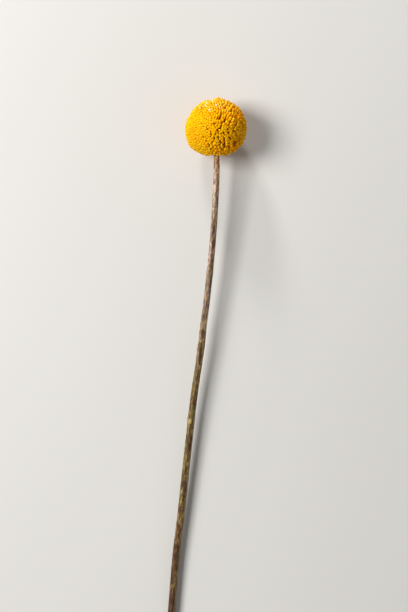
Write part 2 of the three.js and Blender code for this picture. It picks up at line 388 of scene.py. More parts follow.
def stem_material():
    n = Nodes("dried_stem")
    wool, olive, dark, pink = n.attribute("stem")
    along, shade, rim, _ = n.attribute("bark")
    tone = n.noise(300.0, 4.0, 0.62, stretch=(1.0, 0.16, 1.0))
    fibre = n.noise(1700.0, 3.0, 0.6, stretch=(1.0, 0.10, 1.0))
    speck = n.noise(2600.0, 2.0, 0.6, stretch=(1.0, 0.35, 1.0))
    patchy = n.noise(900.0, 2.0, 0.5, stretch=(1.0, 0.30, 1.0))
    # fibres break up the edges of the patches
    fray = n.noise(2300.0, 3.0, 0.65, stretch=(1.0, 0.20, 1.0))
    wool = n.math("MULTIPLY", wool, n.math("ADD", n.math("MULTIPLY", fray, 1.9), 0.05), clamp=True)
    dark = n.math("MULTIPLY", dark, n.math("SUBTRACT", 1.62, n.math("MULTIPLY", fray, 1.0)), clamp=True)
    # grey-pink and woolly above, tan in the middle, brown below
    ground = n.ramp(along, [
        (0.0, srgb(204, 162, 112)),
        (0.03, srgb(192, 164, 140)),
        (0.32, srgb(164, 138, 114)),
        (0.52, srgb(145, 125, 80)),
        (0.74, srgb(127, 105, 60)),
        (1.0, srgb(103, 80, 50)),
    ])
    level = n.ramp(tone, [(0.30, (0.66, 0.66, 0.66, 1)), (0.5, (0.94, 0.94, 0.94, 1)), (0.72, (1.0, 1.0, 1.0, 1))])
    toned = n.mix(1.0, ground, level, "MULTIPLY")
    green = n.mix(olive, toned, n.mix(1.0, toned, (0.84, 1.04, 0.56, 1), "MULTIPLY"))
    warm = n.mix(pink, green, n.mix(1.0, green, (0.90, 0.58, 0.66, 1), "MULTIPLY"))
    lines = n.mix(n.ramp(fibre, [(0.40, (0.9, 0.9, 0.9, 1)), (0.56, (0, 0, 0, 1))]), warm,
                  n.mix(1.0, warm, (0.56, 0.50, 0.43, 1), "MULTIPLY"))
    felt = n.ramp(along, [
        (0.0, srgb(232, 198, 152)),
        (0.035, srgb(228, 204, 184)),
        (0.30, srgb(208, 184, 162)),
        (0.42, srgb(190, 168, 118)),
        (0.6, srgb(176, 157, 100)),
        (1.0, srgb(150, 124, 80)),
    ])
    strand = n.noise(3600.0, 2.0, 0.6, stretch=(1.0, 0.12, 1.0))
    hairy = n.mix(n.ramp(patchy, [(0.35, (0.75, 0.75, 0.75, 1)), (0.65, (1, 1, 1, 1))]), felt,
                  n.mix(1.0, felt, (0.80, 0.74, 0.72, 1), "MULTIPLY"))
    combed = n.mix(n.ramp(strand, [(0.40, (0, 0, 0, 1)), (0.62, (0.55, 0.55, 0.55, 1))]), hairy,
                   n.mix(1.0, felt, (0.66, 0.60, 0.56, 1), "MULTIPLY"))
    covered = n.mix(n.math("MULTIPLY", wool, 0.70), lines, n.mix(0.4, combed, felt))
    # painted shade and light, with the flecks, multiply the colour
    shaded = n.mix(1.0, covered, n.grey(shade), "MULTIPLY")
    # painted rim light along the right edge
    painted_rim_light = n.mix(rim, shaded, srgb(172, 152, 122))
    burnt = n.ramp(speck, [(0.3, srgb(48, 22, 12)), (0.7, srgb(86, 46, 27))])
    spots = n.mix(n.math("MULTIPLY", dark, 0.92), painted_rim_light, burnt)
    n.link(spots, n.bsdf.inputs["Base Color"])
    n.link(n.ramp(fibre, [(0.2, (0.6, 0.6, 0.6, 1)), (0.9, (0.85, 0.85, 0.85, 1))]), n.bsdf.inputs["Roughness"])
    n.bsdf.inputs["Specular IOR Level"].default_value = 0.30
    n.bsdf.inputs["Sheen Weight"].default_value = 0.12
    n.bsdf.inputs["Sheen Roughness"].default_value = 0.5
    n.bsdf.inputs["Sheen Tint"].default_value = (0.95, 0.88, 0.80, 1)
    n.bump(n.math("ADD", fibre, n.math("MULTIPLY", speck, 0.6)), 0.55, 0.00012)
    return n.m


def stub_material():
    n = Nodes("leaf_stub")
    edge, root, dark, _ = n.attribute("stub")
    fibre = n.noise(1700.0, 3.0, 0.6, stretch=(1.0, 0.15, 1.0))
    pale = n.ramp(fibre, [
        (0.3, srgb(150, 122, 98)),
        (0.5, srgb(190, 163, 136)),
        (0.72, srgb(220, 199, 176)),
    ])
    low = n.mix(root, pale, srgb(132, 108, 78))
    rim = n.mix(n.math("MULTIPLY", edge, 0.9), low, srgb(244, 222, 202))
    n.link(n.mix(dark, rim, srgb(98, 60, 38)), n.bsdf.inputs["Base Color"])
    n.link(n.ramp(fibre, [(0.2, (0.6, 0.6, 0.6, 1)), (0.9, (0.85, 0.85, 0.85, 1))]), n.bsdf.inputs["Roughness"])
    n.bsdf.inputs["Specular IOR Level"].default_value = 0.35
    n.bump(fibre, 0.5, 0.0001)
    return n.m


def floor_material():
    n = Nodes("pale_floor")
    soft = n.noise(3.0, 2.0, 0.5)
    n.link(n.ramp(soft, [(0.3, (0.66, 0.655, 0.64, 1)), (0.7, (0.69, 0.685, 0.67, 1))]), n.bsdf.inputs["Base Color"])
    n.bsdf.inputs["Roughness"].default_value = 0.8
    n.bsdf.inputs["Specular IOR Level"].default_value = 0.25
    return n.m


FLORET, STEM, STUB = floret_material(), stem_material(), stub_material()

# ------------------------------------------------------------------ the florets

z0 = np.array([0.0, 0.0, 1.0])
v = np.cross(z0, HEAD_AXIS)
K = np.array([[0, -v[2], v[1]], [v[2], 0, -v[0]], [-v[1], v[0], 0]])
TURN = np.eye(3) + K + K @ K / (1 + z0 @ HEAD_AXIS)   # head frame (apex on +Z) to the part's


def fullness(theta):
    below = 180 - np.degrees(theta)
    t = np.clip((below - 12) / (66 - 12), 0, 1)
    return 0.865 + 0.135 * np.sin(t * np.pi / 2) ** 2.3


def cluster_dirs():
    i = np.arange(CLUSTERS)
    c = 1 - (2 * i + 1) / CLUSTERS
    s = np.sqrt(1 - c * c)
    f = i * GOLDEN
    return np.stack([s * np.cos(f), s * np.sin(f), c], 1)


def toward_picture(px, py):
    """The direction, in the head's frame, of a picture point on the near side."""
    rise = 10.0
    for _ in range(4):
        w = picture_to_world(px, py, HEAD_CENTRE[2] + rise) - HEAD_CENTRE
        rise = math.sqrt(max(13.8 ** 2 - w[0] ** 2 - w[1] ** 2, 0.0))
    w[2] = rise
    return unit(TURN.T @ w)


# Small dark openings between the clusters, in picture pixels. The rest of the
# head, which the picture doesn't show, gets a like number.
PITS = [
    # across, down, half width of the opening in mm
    (229.1, 124.6, 0.50), (231.3, 120.5, 0.32), (226.6, 116.0, 0.34), (225.3, 119.4, 0.26),
    (219.2, 118.2, 0.34), (221.0, 116.2, 0.32), (221.7, 125.0, 0.26), (220.8, 128.2, 0.26),
    (217.4, 130.3, 0.32), (223.8, 133.1, 0.48), (228.5, 132.9, 0.42), (218.3, 136.9, 0.44),
    (214.4, 138.7, 0.46), (224.5, 139.3, 0.46), (229.4, 137.7, 0.46), (220.2, 141.9, 0.40),
    (224.5, 144.8, 0.46), (236.2, 141.4, 0.40), (235.6, 124.8, 0.30), (240.5, 117.1, 0.22),
    (221.5, 150.8, 0.34), (229.6, 148.3, 0.34), (210.2, 145.9, 0.32), (212.4, 143.4, 0.30),
    (206.1, 141.4, 0.10), (203.1, 137.2, 0.10), (211.2, 135.0, 0.12), (207.4, 129.0, 0.05),
    (214.4, 123.5, 0.06), (233.9, 131.4, 0.24), (234.6, 146.4, 0.30), (224.7, 106.6, 0.22),
]


RIGHT = TURN.T @ np.array([math.cos(VIEW_TURN), math.sin(VIEW_TURN), 0.0])
UPWARD = TURN.T @ np.array([-math.sin(VIEW_TURN), math.cos(VIEW_TURN), 0.0])
FACING = TURN.T @ z0


def in_picture(d):
    """Across and up from the head's middle in the picture, in radii, and nearness."""
    z = d @ FACING
    return d @ RIGHT, d @ UPWARD + 0.10 * np.maximum(z, 0), z


def smooth_share(d):
    """1 where shut florets sit tightly together, 0 where they stand apart."""
    x, y, z = in_picture(d)
    near = step(z, -0.15, 0.1)
    left = step(-x, 0.12, 0.46) * (1 - step(y, 0.42, 0.62))
    edge = 0.35 * step(x, 0.70, 0.88)
    above = 0.80 * step(-x, -0.14, 0.16) * step(y, -0.10, 0.20) * (1 - step(y, 0.84, 0.95))
    patch = 0.40 * step(fbm(d * 1.9 + 7.0, 301, 2), 0.50, 0.62)
    return near * np.maximum(np.maximum(left, above), edge) + (1 - near) * patch


def comb(d):
    """Which way the florets lie over at directions d: tangents, long where they lie low."""
    theta = np.arccos(np.clip(d[:, 2], -1, 1))
    hor = np.maximum(np.hypot(d[:, 0], d[:, 1]), 1e-6)
    east = np.stack([-d[:, 1] / hor, d[:, 0] / hor, np.zeros(len(d))], 1)
    south = np.cross(east, d)
    amount = -1.20 * step(theta, 0.16, 0.50) * (1 - step(theta, 1.02, 1.40)) + 1.60 * step(theta, 1.95, 2.25)
    v = amount[:, None] * south
    x, y, z = in_picture(d)
    swept = np.exp(-(((x - 0.40) / 0.40) ** 2 + ((y - 0.47) / 0.33) ** 2) ** 2) * step(z, 0.0, 0.3)
    t = 0.40 * RIGHT + 0.92 * UPWARD
    t = unit(t - (d @ t)[:, None] * d)
    v = v * (1 - swept)[:, None] + (2.0 * swept)[:, None] * t
    return v * (1 - 0.92 * smooth_share(d))[:, None]


def spread_florets():
    """Directions of every floret's tip, and the cluster that each belongs to."""
    centres = cluster_dirs()
    keep_out = math.radians(180 - 9.5)           # where the stem comes out
    wobble = rng.normal(0, 0.018, centres.shape)
    centres = unit(centres + wobble - (wobble * centres).sum(1, keepdims=True) * centres)
    dirs, own = [], []
    for i, c in enumerate(centres):
        if math.acos(np.clip(c[2], -1, 1)) > keep_out:
            continue
        lying = np.linalg.norm(comb(c[None])[0])
        if lying > 1.25:
            m = rng.choice([2, 3], p=[0.72, 0.28])
        elif lying > 0.55:
            m = rng.choice([2, 3, 4], p=[0.26, 0.56, 0.18])
        else:
            m = rng.choice([3, 4, 5, 6], p=[0.12, 0.46, 0.32, 0.10])
        a = unit(np.cross(c, [0.31, 0.77, 0.55]))
        b = np.cross(c, a)
        t0 = rng.uniform(0, 2 * np.pi)
        ring = m if m < 6 else 5
        for j in range(ring):
            t = t0 + 2 * np.pi * j / ring + rng.normal(0, 0.15)
            d = c + (0.060 if m < 5 else 0.068) * (math.cos(t) * a + math.sin(t) * b)
            dirs.append(unit(d))
            own.append(i)
        if m == 6:
            dirs.append(unit(c + rng.normal(0, 0.006, 3)))
            own.append(i)
    dirs, own = np.array(dirs), np.array(own)
    pits = [toward_picture(*p[:2]) for p in PITS]
    hidden = unit(rng.normal(size=(400, 3)))
    toward_camera = TURN.T @ z0
    for d in hidden:
        if d @ toward_camera < 0.1 and all(d @ p < math.cos(0.24) for p in pits):
            pits.append(d)
    pits = np.array(pits)
    n, n_pit = len(dirs), len(pits)
    group = np.concatenate([own, -1 - np.arange(n_pit)])
    move_by = np.concatenate([np.ones(n), np.zeros(n_pit)])[:, None]
    pts = np.vstack([dirs, pits])
    for k in range(60):
        dot = pts @ pts.T
        np.fill_diagonal(dot, -1)
        near = np.argwhere(np.triu(dot > math.cos(0.25)))
        d = pts[near[:, 0]] - pts[near[:, 1]]
        mid = unit(pts[near[:, 0]] + pts[near[:, 1]])
        way = comb(mid)
        lying = np.minimum(np.linalg.norm(way, axis=1), 1.9)
        stretch = 1 + 0.95 * lying
        ds = (d * unit(way)).sum(1)
        de2 = np.maximum((d * d).sum(1) - ds ** 2, 0)
        gap = np.maximum(np.sqrt(de2 * stretch + ds ** 2 / stretch), 1e-6)
        same = group[near[:, 0]] == group[near[:, 1]]
        pit = (group[near[:, 0]] < 0) | (group[near[:, 1]] < 0)
        roomy = 1 + 0.20 * lying
        want = np.where(pit, 0.078, np.where(same, 0.094, 0.102) * roomy)
        gap = np.where(pit, np.maximum(np.linalg.norm(d, axis=1), 1e-6), gap)
        push = np.clip(want - gap, 0, None) * np.where(pit, 0.9, 0.42)
        move = np.zeros_like(pts)
        np.add.at(move, near[:, 0], d / gap[:, None] * push[:, None])
        np.add.at(move, near[:, 1], -d / gap[:, None] * push[:, None])
        move[:n] += (centres[own] - pts[:n]) * 0.012
        pts = unit(pts + move * move_by)
    dirs = pts[:n]
    low = np.arccos(np.clip(dirs[:, 2], -1, 1)) < math.radians(180 - 10.5)
    return centres, dirs[low], own[low], pits


centres, tips, own, pits = spread_florets()
COUNT = len(tips)

# One floret is a slim tube. Open, it ends in five blunt lobes round a small
# middle; shut, in a low puckered dome. Each row: the share of the length, the
# radius, how deep the lobes cut in, and how far they stand up (mm).
SIDES = 15
OPEN = np.array([
    (0.000, 0.26, 0.00, 0.00),
    (0.300, 0.34, 0.00, 0.00),
    (0.600, 0.47, 0.00, 0.00),
    (0.790, 0.570, 0.02, 0.00),
    (0.900, 0.640, 0.06, 0.00),
    (0.957, 0.660, 0.11, 0.01),
    (0.992, 0.52, 0.17, 0.05),
    (0.992, 0.30, 0.12, 0.03),
    (0.976, 0.14, 0.00, 0.00),
])
SHUT = np.array([
    (0.000, 0.26, 0.00, 0.00),
    (0.300, 0.34, 0.00, 0.00),
    (0.600, 0.48, 0.00, 0.00),
    (0.780, 0.600, 0.01, 0.00),
    (0.890, 0.660, 0.03, 0.00),
    (0.944, 0.640, 0.05, 0.00),
    (0.980, 0.49, 0.07, 0.00),
    (0.999, 0.27, 0.10, 0.00),
    (1.003, 0.12, 0.08, 0.00),
])
LONG = np.array([
    (0.000, 0.26, 0.00, 0.00),
    (0.300, 0.40, 0.00, 0.00),
    (0.600, 0.56, 0.00, 0.00),
    (0.780, 0.620, 0.02, 0.00),
    (0.890, 0.640, 0.04, 0.00),
    (0.948, 0.600, 0.07, 0.00),
    (0.982, 0.46, 0.10, 0.01),
    (0.998, 0.25, 0.10, 0.00),
    (1.000, 0.11, 0.05, 0.00),
])
TIGHT = np.array([
    (0.000, 0.26, 0.00, 0.00),
    (0.300, 0.36, 0.00, 0.00),
    (0.600, 0.52, 0.00, 0.00),
    (0.800, 0.690, 0.00, 0.00),
    (0.905, 0.745, 0.02, 0.00),
    (0.962, 0.735, 0.03, 0.00),
    (0.986, 0.63, 0.04, 0.00),
    (0.998, 0.38, 0.05, 0.00),
    (1.000, 0.15, 0.04, 0.00),
])
N_RING = len(OPEN)
ang = np.arange(SIDES) * 2 * np.pi / SIDES
lobe = np.cos(5 * ang)            # 1 in a lobe's middle, -0.5 beside the notch

theta = np.arccos(np.clip(tips[:, 2], -1, 1))
phi = np.arctan2(tips[:, 1], tips[:, 0])
east = np.stack([-np.sin(phi), np.cos(phi), np.zeros(COUNT)], 1)
south = np.stack([np.cos(theta) * np.cos(phi), np.cos(theta) * np.sin(phi), -np.sin(theta)], 1)
world_dir = tips @ TURN.T

cluster_lift = rng.normal(0, 0.07, CLUSTERS)
cluster_age = np.clip(rng.beta(1.3, 2.6, CLUSTERS), 0, 1)
cluster_open = rng.beta(1.2, 1.2, CLUSTERS)
# the florets towards -X and the apex are mostly still shut
open_bias = 0.30 * world_dir[:, 0] - 0.22 * world_dir[:, 1] + 0.08
openness = np.clip(0.62 * cluster_open[own] + 0.30 * rng.random(COUNT) + open_bias, 0, 1)
offset = tips - centres[own]
from_mid = np.linalg.norm(offset, axis=1) / 0.075
tight = smooth_share(tips)
lay = comb(tips)
grain_by = np.clip(np.linalg.norm(lay, axis=1) / 0.9, 0, 1)
to_pit = np.arccos(np.clip((tips @ pits.T).max(1), -1, 1))
beside_pit = np.exp(-(to_pit / 0.13) ** 2)
reach = 13.93 * fullness(theta) + (cluster_lift[own] + rng.normal(0, 0.07, COUNT)) * (1 - 0.65 * tight)
reach -= 0.17 * np.clip(from_mid, 0, 1.6) ** 2 * (1 - 0.6 * tight)
short = (rng.random(COUNT) < 0.03) & (tight < 0.5)
reach[short] -= rng.uniform(0.3, 0.9, short.sum())
reach = np.minimum(reach, 14.0)
open_less = 1 - 0.75 * tight
openness *= open_less

size = np.clip(rng.normal(1.0, 0.06, COUNT), 0.84, 1.16)

size = 1 + (size - 1) * (1 - 0.5 * tight)
sharp = np.zeros(COUNT)
lay = lay + rng.normal(0, 0.07, COUNT)[:, None] * south + rng.normal(0, 0.07, COUNT)[:, None] * east

# the head's outline isn't quite round: angle from the picture's right, turning
# towards its top, and the distance from the middle in picture pixels
OUTLINE = np.array([
    (-180, 31.0), (-162, 31.3), (-145, 31.6), (-129, 29.6), (-118, 28.7), (-103, 27.7), (-74, 27.7), (-60, 28.4),
    (-43, 29.7), (-29, 30.6), (-14, 30.9), (0, 31.2), (10, 31.1), (22, 30.8), (37, 30.9), (45, 31.7), (52, 30.6),
    (60, 30.4), (75, 31.0), (86, 31.5), (92, 30.4), (99, 29.3), (107, 30.2), (111, 30.9), (122, 29.9), (137, 30.2),
    (147, 29.8), (162, 30.4), (173, 31.1), (180, 31.0),
], float)
flat_x, flat_y, flat_z = tips @ RIGHT, tips @ UPWARD, tips @ FACING
turned = np.degrees(np.arctan2(flat_y, flat_x))
outline = np.interp(turned, OUTLINE[:, 0], OUTLINE[:, 1]) * SCALE - 0.04
at_edge = 1 - step(np.abs(flat_z), 0.18, 0.50)
reach = reach * (1 - at_edge) + (outline + 0.4 * (reach - 13.93 * fullness(theta))) * at_edge


def stand_proud(px, py, to_radius, thick, point, sideways=0.0):
    """The floret nearest a picture point on the outline stands out to there."""
    w = picture_to_world(px, py) - HEAD_CENTRE
    d = unit(TURN.T @ w)
    k = int(np.argmax(tips @ d - (sharp > 0)))
    tips[k] = d
    reach[k] = to_radius
    size[k] = thick
    lay[k] = sideways * south[k]
    openness[k] = 0.15
    sharp[k] = point
    grain_by[k] = 0.0
    return k


stand_proud(218.4, 96.4, 14.62, 0.95, 0.62)
stand_proud(216.2, 98.2, 14.08, 0.90, 0.30)
stand_proud(220.4, 98.6, 14.04, 0.90, 0.30)
stand_proud(224.6, 99.2, 14.06, 0.85, 0.30)
stand_proud(247.5, 120.5, 14.76, 0.86, 0.86, -0.15)
stand_proud(187.0, 119.0, 14.10, 0.85, 0.50)
reach = np.where(sharp > 0, reach, np.minimum(reach, 14.22))

axis = unit(tips + offset * 0.55 + lay)
length = reach - 6.55
root = unit(centres[own] + offset * 0.45 - 0.20 * lay) * 6.55
tip_at = tips * reach[:, None]
knee = tip_at - axis * (length * 0.52)[:, None]

# florets keep clear of the openings, seen along a line between straight in
# and the way the picture looks
pit_way = unit(pits + 1.6 * FACING * (pits @ FACING > 0.1)[:, None])
pit_open = np.concatenate([[p[2] * 0.64 for p in PITS], rng.uniform(0.16, 0.38, len(pits) - len(PITS))])
radius_at = 0.62 * size
for _ in range(4):
    for j in range(len(pits)):
        at = pits[j] * 13.6
        for q in (1.0, 0.9, 0.8, 0.7, 0.6):
            on = ((1 - q) ** 2) * root + 2 * q * (1 - q) * knee + q * q * tip_at
            rel = on - at
            off = rel - (rel @ pit_way[j])[:, None] * pit_way[j]
            dist = np.linalg.norm(off, axis=1)
            clear = pit_open[j] + radius_at * (0.9 if q > 0.85 else 0.75)
            near_it = (dist < clear) & (np.abs(rel @ pit_way[j]) < 4.5) & (sharp == 0)
            if near_it.any():
                by = off[near_it] / np.maximum(dist[near_it], 0.05)[:, None] * (clear[near_it] - dist[near_it])[:, None]
                tip_at[near_it] += by * (0.6 if q > 0.85 else 0.35)
                knee[near_it] += by * 0.6

spin = rng.uniform(0, 2 * np.pi, COUNT)
squash_by = np.clip(rng.normal(1.0, 0.07, COUNT), 0.82, 1.18)

o = openness[:, None, None]
g = grain_by[:, None, None]
f = tight[:, None, None]
prof = (OPEN[None] * o + SHUT[None] * (1 - o)) * (1 - f) + TIGHT[None] * f
prof = prof * (1 - 0.85 * g) + LONG[None] * 0.85 * g                     # floret, ring, value
prof[:, :, 1] *= 1 - sharp[:, None] * step(prof[:, :, 0], 0.55, 1.0) * 0.72
t = prof[:, :, :1]
over = np.maximum(t - 1, 0) * length[:, None, None]
tc = np.minimum(t, 1.0)
line = ((1 - tc) ** 2) * root[:, None, :] + 2 * tc * (1 - tc) * knee[:, None, :] + tc ** 2 * tip_at[:, None, :]
line = line + over * axis[:, None, :]
across_a = unit(east - (east * axis).sum(1, keepdims=True) * axis)
across_b = np.cross(axis, across_a)
wide_a = 1 - 0.10 * grain_by
wide_b = 1 + 0.12 * grain_by
ca, sa = np.cos(ang[None, :] + spin[:, None]), np.sin(ang[None, :] + spin[:, None])
crimp = 1 + 0.06 * (rng.random((COUNT, N_RING, SIDES)) - 0.5)
crimp[:, :2] = 1
rad = prof[:, :, 1:2] * (1 + prof[:, :, 2:3] * lobe) * size[:, None, None] * crimp
pos = line[:, :, None, :] \
    + (rad * ca[:, None, :] * wide_a[:, None, None])[..., None] * across_a[:, None, None, :] \
    + (rad * sa[:, None, :] * (squash_by * wide_b)[:, None, None])[..., None] * across_b[:, None, None, :] \
    + (prof[:, :, 3:4] * lobe)[..., None] * axis[:, None, None, :]
middle_pt = tip_at - axis * (openness * (0.22 + 0.10 * rng.random(COUNT)) + (1 - openness) * 0.01)[:, None]
poke = (rng.random(COUNT) < 0.4) & (openness > 0.5)
middle_pt[poke] += axis[poke] * 0.24
root_pt = root - axis * 0.1

PER = N_RING * SIDES + 2
allpos = np.empty((COUNT, PER, 3))
allpos[:, :N_RING * SIDES] = pos.reshape(COUNT, -1, 3)
allpos[:, -2] = middle_pt
allpos[:, -1] = root_pt
world_pos = allpos @ TURN.T + HEAD_CENTRE
# tips that meet the surface are pressed flat, not through it
low = world_pos[..., 2] < 0.12
world_pos[..., 2] = np.where(low, 0.02 + 0.10 * np.exp(np.minimum(world_pos[..., 2] - 0.12, 0) / 0.25), world_pos[..., 2])

facing = step(flat_z, -0.2, 0.2)
# painted shade: on the near side, florets further right, away from the key lamp, lean to the orange end of the colour
# ramp
pick = np.clip(rng.beta(1.6, 2.2, COUNT) * (1 - 0.25 * facing) + facing * (0.10 + 0.30 * flat_x), 0, 1)
# painted light: the upper middle of the near side, where the light falls, is made yellower
painted_light_top = facing * step(flat_y, 0.15, 0.60) * (1 - step(flat_x, 0.15, 0.55)) * (1 - step(-flat_x, 0.25, 0.60))
pick = pick * (1 - 0.75 * painted_light_top)
# painted shade: the lower left of the near side, facing the key lamp, is made an even, more orange yellow to darken it
even_painted_shade = facing * step(-flat_x, 0.15, 0.60) * step(flat_y, -0.80, -0.30)
pick = np.clip(pick + 0.55 * even_painted_shade, 0, 1)
pick = pick + (0.74 - pick) * 0.65 * even_painted_shade
pick = np.where(sharp > 0.5, 0.95, pick)
# the florets that catch the light, with a painted cream highlight in their base colour as well as more gloss: the
# listed ones on the shoulder, a faint painted sheen on the rest of the shoulder, a few anywhere
SHINY_PAINTED_GLINTS = [(200.9, 107.9), (205.1, 107.0), (208.7, 103.4), (209.1, 110.8), (215.6, 105.6), (202.6, 103.4), (213.5, 101.5)]
gloss_and_painted_glint = 0.35 * rng.random(COUNT) ** 3
gloss_and_painted_glint[rng.random(COUNT) < 0.03] = 0.7
gloss_and_painted_glint *= 1 - 0.9 * facing
shoulder = facing * step(flat_y, 0.40, 0.70) * (1 - 0.5 * step(flat_x, 0.25, 0.6))
gloss_and_painted_glint = np.maximum(gloss_and_painted_glint, shoulder * (0.15 + 0.14 * rng.random(COUNT)))
for px, py in SHINY_PAINTED_GLINTS:
    gloss_and_painted_glint[int(np.argmax(unit(tip_at) @ toward_picture(px, py - 2.2)))] = 1.0
mask = np.ones((COUNT, PER, 4))
mask[..., 0] = pick[:, None]
# painted shade by depth: kept beside the openings, eased where florets sit tight or lie long
depth_share = np.minimum(prof[:, :, 0], 1.0)
depth_share = 1 - (1 - depth_share) * (1 - np.maximum(0.50 * grain_by, 0.62 * tight) * (1 - 0.8 * beside_pit))[:, None]
mask[:, :N_RING * SIDES, 1] = np.repeat(depth_share, SIDES, axis=1)
mask[:, -2, 1], mask[:, -1, 1] = 1.0, 0.0
# partly random age by cluster, partly painted shade: more orange beside the openings and towards the right of the near
# side, away from the key lamp; less in the painted-light top
age_and_shade = np.clip(cluster_age[own] * 0.8 * (1 - 0.6 * painted_light_top) + 0.25 * beside_pit + facing * 0.35 * step(flat_x, 0.1, 0.9), 0, 1)
mask[..., 2] = age_and_shade[:, None]
tipness = np.zeros((COUNT, N_RING))
tipness[:, -2] = 0.30 * openness
tipness[:, -1] = 0.25 + 0.75 * openness
mask[:, :N_RING * SIDES, 3] = np.repeat(tipness, SIDES, axis=1)
mask[:, -2, 3], mask[:, -1, 3] = 0.35 + 0.65 * openness, 0.0

one_quads = ring_faces(N_RING, SIDES)
k = np.arange(SIDES)
one_tris = np.concatenate([
    np.stack([np.full(SIDES, PER - 2), (N_RING - 1) * SIDES + k, (N_RING - 1) * SIDES + (k + 1) % SIDES], 1),
    np.stack([np.full(SIDES, PER - 1), (k + 1) % SIDES, k], 1),
])


# the painted highlight lies on the outer face of the upper part
face = ca[:, None, :] * (across_a * tips).sum(1)[:, None, None] + sa[:, None, :] * (across_b * tips).sum(1)[:, None, None]
face = face / np.maximum(np.abs(face).max((1, 2), keepdims=True), 1e-6)
lit = step(face, -0.1, 0.75) * step(prof[:, :, 0], 0.60, 0.80)[:, :, None] * (1 - 0.5 * step(prof[:, :, 0], 0.97, 1.0))[:, :, None]
gloss_and_painted_highlight = np.zeros((COUNT, PER, 4))
gloss_and_painted_highlight[:, :N_RING * SIDES, 0] = (gloss_and_painted_glint[:, None, None] * lit).reshape(COUNT, -1)
gloss_and_painted_highlight[:, -2, 0] = 0.4 * gloss_and_painted_glint
gloss_and_painted_highlight[..., 1] = tight[:, None]


def floret_piece(name, node, members):
    n = len(members)
    shift = (np.arange(n) * PER)[:, None, None]
    ob = make_mesh(
        name,
        world_pos[members].reshape(-1, 3),
        (one_quads[None] + shift).reshape(-1, 4),
        (one_tris[None] + shift).reshape(-1, 3),
        {"floret": mask[members].reshape(-1, 4), "gloss_and_painted_highlight": gloss_and_painted_highlight[members].reshape(-1, 4)},
        FLORET,
    )
    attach(ob, "root")
    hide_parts(node)
    return ob


floret_piece("crown_florets", "florets_crown", np.flatnonzero(own < CROWN_FROM))
floret_piece("base_florets", "florets_base", np.flatnonzero(own >= BASE_FROM))
for row in range(ROWS):
    members = np.flatnonzero((own >= CROWN_FROM) & (own < BASE_FROM) & (own % ROWS == row))
    floret_piece(f"row_{row + 1:02d}_florets", f"floret_row_{row + 1:02d}", members)

# --------------------------------------------------------------------- the stem


def centripetal(points, count):
    """Points along a centripetal Catmull-Rom curve, evenly spaced by length."""
    p = np.vstack([2 * points[0] - points[1], points, 2 * points[-1] - points[-2]])
    dense = []
    for i in range(1, len(p) - 2):
        q0, q1, q2, q3 = p[i - 1:i + 3]
        t0 = 0.0
        t1 = t0 + np.linalg.norm(q1 - q0) ** 0.5
        t2 = t1 + np.linalg.norm(q2 - q1) ** 0.5
        t3 = t2 + np.linalg.norm(q3 - q2) ** 0.5
        for t in np.linspace(t1, t2, 40, endpoint=False):
            a1 = (t1 - t) / (t1 - t0) * q0 + (t - t0) / (t1 - t0) * q1
            a2 = (t2 - t) / (t2 - t1) * q1 + (t - t1) / (t2 - t1) * q2
            a3 = (t3 - t) / (t3 - t2) * q2 + (t - t2) / (t3 - t2) * q3
            b1 = (t2 - t) / (t2 - t0) * a1 + (t - t0) / (t2 - t0) * a2
            b2 = (t3 - t) / (t3 - t1) * a2 + (t - t1) / (t3 - t1) * a3
            dense.append((t2 - t) / (t2 - t1) * b1 + (t - t1) / (t2 - t1) * b2)
    dense.append(points[-1])
    dense = np.array(dense)
    s = np.concatenate([[0], np.cumsum(np.linalg.norm(np.diff(dense, axis=0), axis=1))])
    at = np.linspace(0, s[-1], count)
    return np.stack([np.interp(at, s, dense[:, k]) for k in range(dense.shape[1])], 1)


STEM_STEPS, STEM_SIDES = 1050, 48
path = centripetal(np.c_[STEM_LINE[:, 0], STEM_LINE[:, 1] + HEAD_CENTRE[1], STEM_LINE[:, 2]], STEM_STEPS)
path_r = np.interp(HEAD_CENTRE[1] - path[:, 1], -STEM_LINE[:, 1], STEM_LINE[:, 3])
tangent = unit(np.gradient(path, axis=0))
left = unit(np.cross(tangent, z0))
left *= np.where(left[:, :1] > 0, -1, 1)          # towards -X
up = unit(np.cross(left, tangent))
up *= np.where(up[:, 2:] < 0, -1, 1)
s_mm = np.concatenate([[0], np.cumsum(np.linalg.norm(np.diff(path, axis=0), axis=1))])


def picture_row(py):
    """How far along the stem, in mm, a picture row is."""
    y = picture_to_world(204, py, 8.0)[1]
    for _ in range(3):
        z = np.interp(-y, -path[:, 1], path[:, 2])
        x = np.interp(-y, -path[:, 1], path[:, 0])
        # the row is level in the picture, so it depends a little on x too
        f = (DISTANCE - (z - HEAD_CENTRE[2])) / DISTANCE
        b = (306.0 - py) * SCALE * f - (306.0 - 129.0) * SCALE
        c, s = math.cos(VIEW_TURN), math.sin(VIEW_TURN)
        # b = -x s + (y - y0) c
        y = (b + (x - HEAD_CENTRE[0]) * s) / c + HEAD_CENTRE[1]
    return float(np.interp(-y, -path[:, 1], s_mm))


